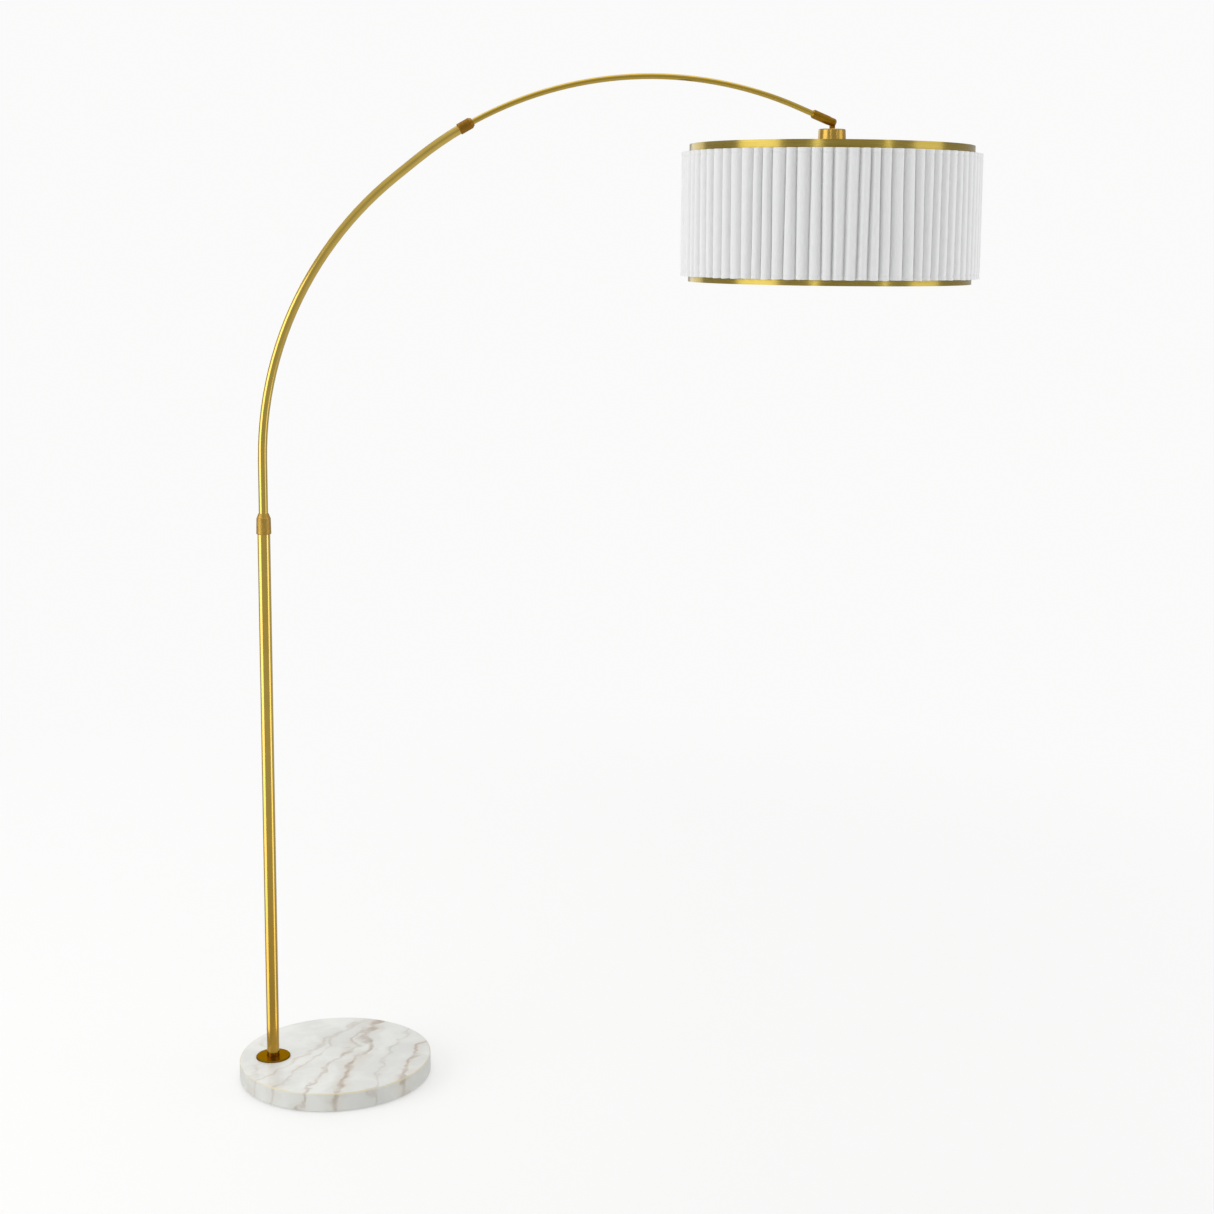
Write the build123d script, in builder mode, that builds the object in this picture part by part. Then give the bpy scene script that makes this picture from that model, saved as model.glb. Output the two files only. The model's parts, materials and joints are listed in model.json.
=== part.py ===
from build123d import *
import math
import os

# Arc floor lamp: marble disc, brass post, two telescoping arc tubes, pleated drum shade.
# Millimetres. The origin is the centre of the base where it meets the floor, +Z is up,
# and the arm reaches along +X from the post.

os.makedirs("parts", exist_ok=True)

# ---- Driving dimensions -------------------------------------------------------------

# Base
BASE_RADIUS = 171.5
BASE_TOP = 34.8
PAD_THICKNESS = 2.0
PAD_RADIUS = 166.0
POST_X = -112.0  # the post stands left of the base's centre

# Post
POST_RADIUS = 11.0
POST_WALL = 1.5
POST_TOP = 994.0

# Arm centreline: upright, first bend, short straight, then the circle of both tubes
LOWER_TUBE_RADIUS = 8.0
LOWER_TUBE_BORE = 7.0
LOWER_TUBE_FOOT = 716.0
BEND_START = 1121.8
BEND_RADIUS = 630.0
BEND_END_SLOPE = 39.0
STRAIGHT_LENGTH = 47.0
SWEEP_RADIUS = 660.0
ROD_RADIUS = 5.0
ROD_BORE = 4.0
ROD_END_SLOPE = -22.0
ROD_INSERTION = 48.0

# Lock nuts
POST_NUT_BOTTOM = 992.8
POST_NUT_SHOULDER = 1021.8
POST_NUT_TOP = 1029.3
ARC_NUT_SLOPE = 30.15
ARC_NUT_HALF = 13.65
TUBE_MOUTH = -8.65  # end of the lower tube, along the arc nut's axis from its middle

# Shade
SHADE_X = 883.0
RING_RADIUS = 250.0
RING_TOP = 1674.3
RING_BOTTOM = 1435.2
PLEAT_TOP = 1660.5
PLEAT_BOTTOM = 1444.4
PLEAT_OUTER = 265.0
PLEAT_INNER = 251.2
PLEAT_COUNT = 80
PLEAT_THICKNESS = 0.6
CUP_TOP = 1703.0
SPIDER_TOP = 1669.0

# Running fits and the inside lead
FIT = 0.06
LEAD_RADIUS = 1.4


# ---- Places worked out from them -----------------------------------------------------


def on_circle(centre, radius, slope):
    """The point of an arm circle, in X and Z, where the arm climbs at this slope in degrees."""
    angle = math.radians(slope)
    return (centre[0] - radius * math.sin(angle), centre[1] + radius * math.cos(angle))


def step(point, slope, distance):
    """A point moved in the X-Z plane along a slope in degrees."""
    angle = math.radians(slope)
    return (point[0] + distance * math.cos(angle), point[1] + distance * math.sin(angle))


def in_space(point):
    """An X-Z point of the arm's plane as a point in space."""
    return (point[0], 0, point[1])


BEND_CENTRE = (POST_X + BEND_RADIUS, BEND_START)
STRAIGHT_START = on_circle(BEND_CENTRE, BEND_RADIUS, BEND_END_SLOPE)
STRAIGHT_END = step(STRAIGHT_START, BEND_END_SLOPE, STRAIGHT_LENGTH)
SWEEP_CENTRE = step(STRAIGHT_END, BEND_END_SLOPE - 90, SWEEP_RADIUS)

DEGREES_PER_MM = math.degrees(1 / SWEEP_RADIUS)
MOUTH_SLOPE = ARC_NUT_SLOPE - TUBE_MOUTH * DEGREES_PER_MM
ROD_START_SLOPE = MOUTH_SLOPE + ROD_INSERTION * DEGREES_PER_MM
ARC_NUT_MIDDLE = in_space(on_circle(SWEEP_CENTRE, SWEEP_RADIUS, ARC_NUT_SLOPE))
ARC_NUT_AXIS = in_space(step((0, 0), ARC_NUT_SLOPE, 1))

# The knuckle lies on the rod's end line, right above the shade's centre.
ROD_END = on_circle(SWEEP_CENTRE, SWEEP_RADIUS, ROD_END_SLOPE)
ROD_END_TO_PIVOT = (SHADE_X - ROD_END[0]) / math.cos(math.radians(ROD_END_SLOPE))
PIVOT = step(ROD_END, ROD_END_SLOPE, ROD_END_TO_PIVOT)
PIVOT_POINT = in_space(PIVOT)
FERRULE_AXIS = in_space(step((0, 0), ROD_END_SLOPE, 1))


# ---- Helpers that add to the part being built -------------------------------------------


def turn(origin, along, outline, mode=Mode.ADD):
    """Revolves an outline of (radius, height) points about the line through origin."""
    axis = Vector(*along).normalized()
    sideways = Vector(0, 1, 0)
    with BuildSketch(Plane(origin=origin, x_dir=sideways, z_dir=sideways.cross(axis))) as profile:
        with BuildLine():
            Polyline(*outline, close=True)
        make_face()
    revolve(profile.sketch, axis=Axis(origin, along), mode=mode)


def turn_upright(x, outline, mode=Mode.ADD):
    """Revolves (radius, z) points about the upright line at x."""
    turn((x, 0, 0), (0, 0, 1), outline, mode)


def washer(x, low, high, outer, inner):
    """A flat ring about the upright line at x."""
    turn_upright(x, [(inner, low), (outer, low), (outer, high), (inner, high)])


def disc(plane, radius, length, mode=Mode.ADD):
    """A round bar from a plane along its normal."""
    with BuildSketch(plane) as profile:
        Circle(radius)
    extrude(profile.sketch, amount=length, mode=mode)


def hex_nut(x, low, height, across_flats, bore):
    """A hexagon nut about the upright line at x."""
    with BuildSketch(Plane((x, 0, low))) as profile:
        RegularPolygon(across_flats / 2, 6, major_radius=False)
        Circle(bore, mode=Mode.SUBTRACT)
    extrude(profile.sketch, amount=height)


def follow(path, outer, inner=0.0, mode=Mode.ADD):
    """Sweeps a round section, with a bore if it has one, along a finished path."""
    with BuildSketch(Plane(origin=path @ 0, z_dir=path % 0)) as profile:
        Circle(outer)
        if inner:
            Circle(inner, mode=Mode.SUBTRACT)
    sweep(profile.sketch, path=path, mode=mode)


def sweep_arc(first_slope, last_slope):
    """The stretch of the arm's second circle between two slopes."""
    middle = (first_slope + last_slope) / 2
    slopes = (first_slope, middle, last_slope)
    with BuildLine() as arc:
        ThreePointArc(*[in_space(on_circle(SWEEP_CENTRE, SWEEP_RADIUS, s)) for s in slopes])
    return arc.wire()


def lower_arm_path(foot, last_slope):
    """The lower arm's centreline, from a height on the post's axis to a slope near its end."""
    bend = [on_circle(BEND_CENTRE, BEND_RADIUS, s) for s in (90, 65, BEND_END_SLOPE)]
    middle = (BEND_END_SLOPE + last_slope) / 2
    end = [on_circle(SWEEP_CENTRE, SWEEP_RADIUS, s) for s in (BEND_END_SLOPE, middle, last_slope)]
    with BuildLine() as path:
        Line((POST_X, 0, foot), in_space(bend[0]))
        ThreePointArc(*[in_space(p) for p in bend])
        Line(in_space(bend[-1]), in_space(end[0]))
        ThreePointArc(*[in_space(p) for p in end])
    return path.wire()


def save(builder, name):
    """Labels a finished piece and writes it to its own file."""
    builder.part.label = name
    export_step(builder.part, f"parts/{name}.step")


# ---- Base ----------------------------------------------------------------------------------

RECESS_RADIUS = 26.0
RECESS_TOP = 26.0
GROOVE_WIDTH = 10.0
GROOVE_TOP = 11.0
POCKET_SIZE = (24.0, 34.0)  # for the terminal block, X and Y
POCKET_TOP = 20.0
POCKET_FAR_SIDE = 56.0
TOP_ROUNDING = 2.5
BOTTOM_CHAMFER = 1.0
POST_HOLE_RADIUS = 5.5

with BuildPart() as base_pad:
    disc(Plane.XY, PAD_RADIUS, PAD_THICKNESS)
save(base_pad, "base_pad")

with BuildPart() as marble_base:
    disc(Plane.XY.offset(PAD_THICKNESS), BASE_RADIUS, BASE_TOP - PAD_THICKNESS)
    fillet(marble_base.edges().filter_by(GeomType.CIRCLE).sort_by(Axis.Z)[-1], TOP_ROUNDING)
    chamfer(marble_base.edges().filter_by(GeomType.CIRCLE).sort_by(Axis.Z)[0], BOTTOM_CHAMFER)
    underside = Plane((POST_X, 0, PAD_THICKNESS))
    disc(underside, RECESS_RADIUS, RECESS_TOP - PAD_THICKNESS, Mode.SUBTRACT)
    disc(underside, POST_HOLE_RADIUS, BASE_TOP, Mode.SUBTRACT)
    with BuildSketch(underside):
        with Locations((0, POCKET_FAR_SIDE - POCKET_SIZE[1] / 2)):
            Rectangle(*POCKET_SIZE)
    extrude(amount=POCKET_TOP - PAD_THICKNESS, mode=Mode.SUBTRACT)
    with BuildSketch(underside):
        with Locations((0, BASE_RADIUS / 2)):
            Rectangle(GROOVE_WIDTH, BASE_RADIUS)
    extrude(amount=GROOVE_TOP - PAD_THICKNESS, mode=Mode.SUBTRACT)
save(marble_base, "marble_base")

# The threaded tube that clamps the post to the marble, with its nut and washers in the recess
NIPPLE_RADIUS = 5.0
NIPPLE_BORE = 3.5
NIPPLE_BOTTOM = 16.0
NIPPLE_TOP = 54.8
FOOT_PLUG_TOP = 58.8
POST_BORE = POST_RADIUS - POST_WALL
NUT_BOTTOM = 17.0
NUT_TOP = 22.0
NUT_FLATS = 17.0
SPRING_WASHER_TOP = 23.5
SPRING_WASHER_RADIUS = 8.5
BASE_WASHER_RADIUS = 22.0

with BuildPart() as threaded_nipple:
    washer(POST_X, NIPPLE_BOTTOM, NIPPLE_TOP, NIPPLE_RADIUS, NIPPLE_BORE)
save(threaded_nipple, "threaded_nipple")

with BuildPart() as base_nut:
    hex_nut(POST_X, NUT_BOTTOM, NUT_TOP - NUT_BOTTOM, NUT_FLATS, NIPPLE_RADIUS)
save(base_nut, "base_nut")

with BuildPart() as base_spring_washer:
    washer(POST_X, NUT_TOP, SPRING_WASHER_TOP, SPRING_WASHER_RADIUS, NIPPLE_RADIUS + 0.2)
save(base_spring_washer, "base_spring_washer")

with BuildPart() as base_washer:
    washer(POST_X, SPRING_WASHER_TOP, RECESS_TOP, BASE_WASHER_RADIUS, NIPPLE_RADIUS + 0.3)
save(base_washer, "base_washer")

with BuildPart() as foot_plug:
    washer(POST_X, BASE_TOP, FOOT_PLUG_TOP, POST_BORE, NIPPLE_RADIUS)
save(foot_plug, "foot_plug")

ESCUTCHEON_RADIUS = 30.5
ESCUTCHEON_TOP = BASE_TOP + 3.0
ESCUTCHEON_CHAMFER = 1.0
COUNTERSINK = 0.9

with BuildPart() as escutcheon:
    turn_upright(
        POST_X,
        [
            (POST_RADIUS + FIT, BASE_TOP),
            (ESCUTCHEON_RADIUS, BASE_TOP),
            (ESCUTCHEON_RADIUS, ESCUTCHEON_TOP - ESCUTCHEON_CHAMFER),
            (ESCUTCHEON_RADIUS - ESCUTCHEON_CHAMFER, ESCUTCHEON_TOP),
            (POST_RADIUS + COUNTERSINK, ESCUTCHEON_TOP),
            (POST_RADIUS + FIT, ESCUTCHEON_TOP - COUNTERSINK),
        ],
    )
save(escutcheon, "escutcheon")

# Cord inlet at the back of the base, and the terminal block behind it
GLAND_START = 112.0
GLAND_BLOCK_END = 124.0
GLAND_END = 142.0
GLAND_Z = 6.6
GLAND_BORE = 3.5
GLAND_SLEEVE_RADIUS = 4.3
GLAND_BLOCK_SIZE = (9.6, 8.6)  # across and up, a running fit in the groove

with BuildPart() as cord_gland:
    inside_face = Plane((POST_X, GLAND_START, GLAND_Z), x_dir=(1, 0, 0), z_dir=(0, 1, 0))
    with BuildSketch(inside_face):
        Rectangle(*GLAND_BLOCK_SIZE)
    extrude(amount=GLAND_BLOCK_END - GLAND_START)
    sleeve_start = inside_face.offset(GLAND_BLOCK_END - GLAND_START)
    disc(sleeve_start, GLAND_SLEEVE_RADIUS, GLAND_END - GLAND_BLOCK_END)
    disc(inside_face, GLAND_BORE, GLAND_END - GLAND_START, Mode.SUBTRACT)
save(cord_gland, "cord_gland")

BLOCK_NEAR = 30.0
BLOCK_SIZE = (18.0, 22.0, 13.0)
BLOCK_MIDDLE_Y = BLOCK_NEAR + BLOCK_SIZE[1] / 2
BLOCK_BOTTOM = 2.6
SCREW_SPOTS = [(x, y) for x in (-4.5, 4.5) for y in (-6.0, 6.0)]
SCREW_HOLE_RADIUS = 2.0
SCREW_HOLE_DEPTH = 7.0
SCREW_RECESS = 2.0
SCREW_RADIUS = 1.9
SCREW_LENGTH = 4.9

with BuildPart() as terminal_block:
    with BuildSketch(Plane((POST_X, BLOCK_MIDDLE_Y, BLOCK_BOTTOM))):
        Rectangle(BLOCK_SIZE[0], BLOCK_SIZE[1])
    extrude(amount=BLOCK_SIZE[2])
    with BuildSketch(Plane((POST_X, BLOCK_MIDDLE_Y, BLOCK_BOTTOM))):
        with Locations(*SCREW_SPOTS):
            Circle(SCREW_HOLE_RADIUS)
    extrude(amount=SCREW_HOLE_DEPTH, mode=Mode.SUBTRACT)
save(terminal_block, "terminal_block")

with BuildPart() as terminal_screws:
    with BuildSketch(Plane((POST_X, BLOCK_MIDDLE_Y, BLOCK_BOTTOM + SCREW_RECESS))):
        with Locations(*SCREW_SPOTS):
            Circle(SCREW_RADIUS)
    extrude(amount=SCREW_LENGTH)
save(terminal_screws, "terminal_screws")

LEAD_FLOOR = 8.0
LEAD_BEND = 7.5
LEAD_SPLICE = 700.0  # where the stand's part of the lead meets the arm's

with BuildPart() as lead_stand:
    with BuildLine() as lead_path:
        corners = [
            (POST_X, BLOCK_NEAR, LEAD_FLOOR),
            (POST_X, 0, LEAD_FLOOR),
            (POST_X, 0, LEAD_SPLICE),
        ]
        FilletPolyline(*corners, radius=LEAD_BEND)
    follow(lead_path.wire(), LEAD_RADIUS)
save(lead_stand, "lead_stand")

# ---- Post ------------------------------------------------------------------------------------

with BuildPart() as post_tube:
    washer(POST_X, BASE_TOP, POST_TOP, POST_RADIUS, POST_BORE)
save(post_tube, "post_tube")

COLLET_BORE = LOWER_TUBE_RADIUS + FIT
COLLET_THREAD = 10.4
COLLET_BOTTOM = 966.0
COLLET_SLITS_FROM = 1003.0
COLLET_SLIT_WIDTH = 1.2
COLLET_TAPER_FROM = 1014.0
COLLET_TIP = 9.4
COLLET_TOP = 1022.0

with BuildPart() as post_collet:
    turn_upright(
        POST_X,
        [
            (COLLET_BORE, COLLET_BOTTOM),
            (POST_BORE, COLLET_BOTTOM),
            (POST_BORE, POST_TOP),
            (COLLET_THREAD, POST_TOP),
            (COLLET_THREAD, COLLET_TAPER_FROM),
            (COLLET_TIP, COLLET_TOP),
            (COLLET_BORE, COLLET_TOP),
        ],
    )
    slit_reach = COLLET_THREAD + 4
    with BuildSketch(Plane((POST_X, 0, COLLET_SLITS_FROM))):
        with PolarLocations(0, 3):
            with Locations((slit_reach / 2, 0)):
                Rectangle(slit_reach, COLLET_SLIT_WIDTH)
    extrude(amount=COLLET_TOP - COLLET_SLITS_FROM + 1, mode=Mode.SUBTRACT)
save(post_collet, "post_collet")

POST_NUT_RADIUS = 13.0
NUT_CLEARANCE = 0.6  # between a lock nut and the tip of its collet
NUT_TIP_GAP = 0.1

with BuildPart() as post_lock_nut:
    turn_upright(
        POST_X,
        [
            (POST_RADIUS + FIT, POST_NUT_BOTTOM),
            (POST_NUT_RADIUS - 1.0, POST_NUT_BOTTOM),
            (POST_NUT_RADIUS - 0.3, POST_NUT_BOTTOM + 0.7),
            (POST_NUT_RADIUS, POST_NUT_BOTTOM + 2.0),
            (POST_NUT_RADIUS - 0.6, POST_NUT_SHOULDER - 0.6),
            (POST_NUT_RADIUS - 1.2, POST_NUT_SHOULDER),
            (POST_NUT_RADIUS - 4.1, POST_NUT_TOP),
            (COLLET_BORE + NUT_TIP_GAP, POST_NUT_TOP),
            (COLLET_BORE + NUT_TIP_GAP, COLLET_TOP + NUT_CLEARANCE),
            (COLLET_TIP + 0.2, COLLET_TOP + NUT_CLEARANCE),
            (COLLET_THREAD + FIT, COLLET_TAPER_FROM + 2.0),
            (COLLET_THREAD + FIT, POST_TOP + 0.5),
            (POST_RADIUS + FIT, POST_TOP + 0.5),
        ],
    )
save(post_lock_nut, "post_lock_nut")

SLEEVE_BOTTOM = 860.0
SLEEVE_TOP = 960.0

with BuildPart() as guide_sleeve:
    washer(POST_X, SLEEVE_BOTTOM, SLEEVE_TOP, POST_BORE - FIT, COLLET_BORE)
save(guide_sleeve, "guide_sleeve")

# ---- Lower arc ---------------------------------------------------------------------------------

with BuildPart() as lower_arc_tube:
    follow(lower_arm_path(LOWER_TUBE_FOOT, MOUTH_SLOPE), LOWER_TUBE_RADIUS, LOWER_TUBE_BORE)
save(lower_arc_tube, "lower_arc_tube")

STOP_COLLAR_BOTTOM = LOWER_TUBE_FOOT + 2
STOP_COLLAR_TOP = LOWER_TUBE_FOOT + 22

with BuildPart() as stop_collar:
    washer(POST_X, STOP_COLLAR_BOTTOM, STOP_COLLAR_TOP, POST_BORE - 0.3, LOWER_TUBE_RADIUS)
save(stop_collar, "stop_collar")

COLLET_SHANK = 14.0
COLLET_WAIST = 6.5
ARC_THREAD = 7.8
ARC_TAPER_FROM = 3.0
ARC_COLLET_TIP = 6.8
ARC_COLLET_TOP = 8.0

with BuildPart() as rod_collet:
    shank_start = MOUTH_SLOPE + COLLET_SHANK * DEGREES_PER_MM
    follow(sweep_arc(shank_start, MOUTH_SLOPE), LOWER_TUBE_BORE - 0.05)
    turn(
        ARC_NUT_MIDDLE,
        ARC_NUT_AXIS,
        [
            (0, TUBE_MOUTH - 1.0),
            (COLLET_WAIST, TUBE_MOUTH - 1.0),
            (COLLET_WAIST, TUBE_MOUTH + 0.2),
            (ARC_THREAD, TUBE_MOUTH + 0.2),
            (ARC_THREAD, ARC_TAPER_FROM),
            (ARC_COLLET_TIP, ARC_COLLET_TOP),
            (0, ARC_COLLET_TOP),
        ],
    )
    past_the_tip = ARC_NUT_SLOPE - (ARC_COLLET_TOP + 4) * DEGREES_PER_MM
    bore_path = sweep_arc(shank_start + 1, past_the_tip)
    follow(bore_path, ROD_RADIUS + FIT, mode=Mode.SUBTRACT)
save(rod_collet, "rod_collet")

ROD_LEAD_SLOPE = ROD_START_SLOPE + 3 * DEGREES_PER_MM  # where the arc's lead meets the rod's

with BuildPart() as lead_arc:
    follow(lower_arm_path(LEAD_SPLICE, ROD_LEAD_SLOPE), LEAD_RADIUS)
save(lead_arc, "lead_arc")

ARC_NUT_RADIUS = 9.9
ARC_NUT_GAP = 0.3
ARC_NUT_MOUTH = ROD_RADIUS + 0.45

with BuildPart() as arc_lock_nut:
    turn(
        ARC_NUT_MIDDLE,
        ARC_NUT_AXIS,
        [
            (LOWER_TUBE_RADIUS + ARC_NUT_GAP, -ARC_NUT_HALF),
            (ARC_NUT_RADIUS - 0.6, -ARC_NUT_HALF),
            (ARC_NUT_RADIUS, -ARC_NUT_HALF + 0.6),
            (ARC_NUT_RADIUS, ARC_NUT_HALF - 5.2),
            (ARC_NUT_RADIUS - 0.5, ARC_NUT_HALF - 4.0),
            (ARC_NUT_RADIUS - 3.2, ARC_NUT_HALF),
            (ARC_NUT_MOUTH, ARC_NUT_HALF),
            (ARC_NUT_MOUTH, ARC_COLLET_TOP + NUT_CLEARANCE),
            (ARC_COLLET_TIP + 0.4, ARC_COLLET_TOP + NUT_CLEARANCE),
            (ARC_THREAD + 0.2, ARC_TAPER_FROM + NUT_CLEARANCE),
            (ARC_THREAD + 0.2, TUBE_MOUTH + 0.8),
            (LOWER_TUBE_RADIUS + ARC_NUT_GAP, TUBE_MOUTH + 0.8),
        ],
    )
save(arc_lock_nut, "arc_lock_nut")

# ---- Upper arc -----------------------------------------------------------------------------------

FERRULE_RADIUS = 7.8
FERRULE_BACK = -39.2  # along the ferrule's axis from the pivot
FERRULE_TIP = 6.8
FERRULE_ROUND = 5.2
ROD_SEAT = FERRULE_BACK + 14.0
SLOT_WIDTH = 7.4
SLOT_BOTTOM = -6.6


def rod_line(first_slope, end):
    """The upper arm's centreline, from a slope on the circle to a distance from the pivot."""
    middle = (first_slope + ROD_END_SLOPE) / 2
    slopes = (first_slope, middle, ROD_END_SLOPE)
    with BuildLine() as path:
        ThreePointArc(*[in_space(on_circle(SWEEP_CENTRE, SWEEP_RADIUS, s)) for s in slopes])
        Line(in_space(ROD_END), in_space(step(PIVOT, ROD_END_SLOPE, end)))
    return path.wire()


with BuildPart() as upper_arc_rod:
    follow(rod_line(ROD_START_SLOPE, ROD_SEAT), ROD_RADIUS, ROD_BORE)
save(upper_arc_rod, "upper_arc_rod")

PLUG_HEAD_RADIUS = 5.9
PLUG_HEAD_THICKNESS = 3.0
PLUG_DEPTH = 8.0
PLUG_BORE = LEAD_RADIUS + 0.5

with BuildPart() as rod_end_plug:
    turn(
        in_space(on_circle(SWEEP_CENTRE, SWEEP_RADIUS, ROD_START_SLOPE)),
        in_space(step((0, 0), ROD_START_SLOPE, 1)),
        [
            (PLUG_BORE, -PLUG_HEAD_THICKNESS),
            (PLUG_HEAD_RADIUS, -PLUG_HEAD_THICKNESS),
            (PLUG_HEAD_RADIUS, 0),
            (ROD_BORE - 0.1, 0),
            (ROD_BORE - 0.1, PLUG_DEPTH),
            (PLUG_BORE, PLUG_DEPTH),
        ],
    )
save(rod_end_plug, "rod_end_plug")

PIVOT_HEAD_RADIUS = 3.1
PIVOT_HEAD_DEPTH = 1.6
PIVOT_SHANK_RADIUS = 2.0
PIVOT_REACH = 2.1  # how near the middle plane each pivot screw ends
GRUB_FROM_BACK = 7.5
GRUB_LENGTH = 2.5

with BuildPart() as ferrule:
    with BuildSketch(
        Plane(PIVOT_POINT, x_dir=(0, 1, 0), z_dir=Vector(0, 1, 0).cross(Vector(*FERRULE_AXIS)))
    ):
        with BuildLine():
            FilletPolyline(
                (0, FERRULE_BACK),
                (FERRULE_RADIUS - 1.8, FERRULE_BACK),
                (FERRULE_RADIUS, FERRULE_BACK + 2.2),
                (FERRULE_RADIUS, FERRULE_TIP),
                (0, FERRULE_TIP),
                radius=[0.6, 0.8, FERRULE_ROUND],
            )
            Line((0, FERRULE_TIP), (0, FERRULE_BACK))
        make_face()
    revolve(axis=Axis(PIVOT_POINT, FERRULE_AXIS))
    along = Plane(PIVOT_POINT, x_dir=(0, 1, 0), z_dir=FERRULE_AXIS)
    disc(along.offset(FERRULE_BACK), ROD_RADIUS, ROD_SEAT - FERRULE_BACK, Mode.SUBTRACT)
    disc(along.offset(FERRULE_BACK), LEAD_RADIUS + 0.8, FERRULE_TIP - FERRULE_BACK, Mode.SUBTRACT)
    with BuildSketch(along.offset(SLOT_BOTTOM)):
        Rectangle(SLOT_WIDTH, 4 * FERRULE_RADIUS)
    extrude(amount=4 * FERRULE_RADIUS, mode=Mode.SUBTRACT)
    for side in (-1, 1):
        outside = Plane(PIVOT_POINT, x_dir=(1, 0, 0), z_dir=(0, side, 0))
        disc(outside, PIVOT_SHANK_RADIUS, FERRULE_RADIUS + 1, Mode.SUBTRACT)
        head_seat = outside.offset(FERRULE_RADIUS - PIVOT_HEAD_DEPTH)
        disc(head_seat, PIVOT_HEAD_RADIUS, 2 * PIVOT_HEAD_DEPTH, Mode.SUBTRACT)
    grub_seat = step(PIVOT, ROD_END_SLOPE, FERRULE_BACK + GRUB_FROM_BACK)
    disc(
        Plane(in_space(grub_seat), x_dir=(1, 0, 0), z_dir=(0, 1, 0)),
        PIVOT_SHANK_RADIUS,
        FERRULE_RADIUS + 1,
        Mode.SUBTRACT,
    )
save(ferrule, "ferrule")

with BuildPart() as ferrule_grub_screw:
    grub_point = in_space(grub_seat)
    grub_start = Plane((grub_point[0], ROD_RADIUS, grub_point[2]), x_dir=(1, 0, 0), z_dir=(0, 1, 0))
    disc(grub_start, PIVOT_SHANK_RADIUS, GRUB_LENGTH)
    with BuildSketch(grub_start.offset(GRUB_LENGTH / 2)):
        RegularPolygon(PIVOT_SHANK_RADIUS / 2, 6)
    extrude(amount=GRUB_LENGTH, mode=Mode.SUBTRACT)
save(ferrule_grub_screw, "ferrule_grub_screw")

with BuildPart() as pivot_screws:
    for side in (-1, 1):
        outside = Plane(PIVOT_POINT, x_dir=(1, 0, 0), z_dir=(0, side, 0))
        head_start = FERRULE_RADIUS - PIVOT_HEAD_DEPTH
        disc(outside.offset(PIVOT_REACH), PIVOT_SHANK_RADIUS, head_start - PIVOT_REACH)
        disc(outside.offset(head_start), PIVOT_HEAD_RADIUS - FIT, PIVOT_HEAD_DEPTH)
        with BuildSketch(outside.offset(head_start + PIVOT_HEAD_DEPTH / 2)):
            Rectangle(3 * PIVOT_HEAD_RADIUS, 0.9)
        extrude(amount=PIVOT_HEAD_DEPTH, mode=Mode.SUBTRACT)
save(pivot_screws, "pivot_screws")

with BuildPart() as lead_rod:
    follow(rod_line(ROD_LEAD_SLOPE, SLOT_BOTTOM), LEAD_RADIUS)
save(lead_rod, "lead_rod")

# ---- Shade head: tongue, cup and lampholder ---------------------------------------------------------

TONGUE_THICKNESS = 7.0
TONGUE_RADIUS = 4.5
NECK_TOP = PIVOT[1] - 9.8
NECK_FLARE = 6.3
STEM_BOTTOM = 1685.0
STEM_RADIUS = 5.0
LEAD_SLOT_DEPTH = 3.5  # below the pivot, cut from the back so that the lead can swing

with BuildPart() as swivel_tongue:
    across = Plane(PIVOT_POINT, x_dir=(1, 0, 0), z_dir=(0, -1, 0))
    with BuildSketch(across.offset(-TONGUE_THICKNESS / 2)):
        Circle(TONGUE_RADIUS)
        with Locations((0, (NECK_TOP - PIVOT[1]) / 2)):
            Rectangle(2 * TONGUE_RADIUS, PIVOT[1] - NECK_TOP)
    extrude(amount=TONGUE_THICKNESS)
    turn_upright(
        SHADE_X,
        [
            (0, NECK_TOP),
            (TONGUE_RADIUS, NECK_TOP),
            (TONGUE_RADIUS + 0.4, NECK_TOP - 0.8),
            (NECK_FLARE, CUP_TOP),
            (STEM_RADIUS, CUP_TOP),
            (STEM_RADIUS, STEM_BOTTOM),
            (0, STEM_BOTTOM),
        ],
    )
    bottom = Plane((SHADE_X, 0, STEM_BOTTOM))
    disc(bottom, LEAD_RADIUS + 0.2, PIVOT[1] - STEM_BOTTOM, Mode.SUBTRACT)
    with BuildSketch(Plane((SHADE_X, 0, PIVOT[1] - LEAD_SLOT_DEPTH))):
        with Locations((-TONGUE_RADIUS / 2 - 0.5, 0)):
            Rectangle(TONGUE_RADIUS + 4.2, 2 * LEAD_RADIUS + 0.4)
    extrude(amount=3 * TONGUE_RADIUS, mode=Mode.SUBTRACT)
    for side in (-1, 1):
        socket = Plane(PIVOT_POINT, x_dir=(1, 0, 0), z_dir=(0, side, 0)).offset(PIVOT_REACH - FIT)
        disc(socket, PIVOT_SHANK_RADIUS + FIT, TONGUE_THICKNESS / 2, Mode.SUBTRACT)
save(swivel_tongue, "swivel_tongue")

CUP_WALL = 1.0
CUP_BOTTOM = 1671.0
CUP_TOP_RADIUS = 23.6
CUP_LOW_RADIUS = 25.2

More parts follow.
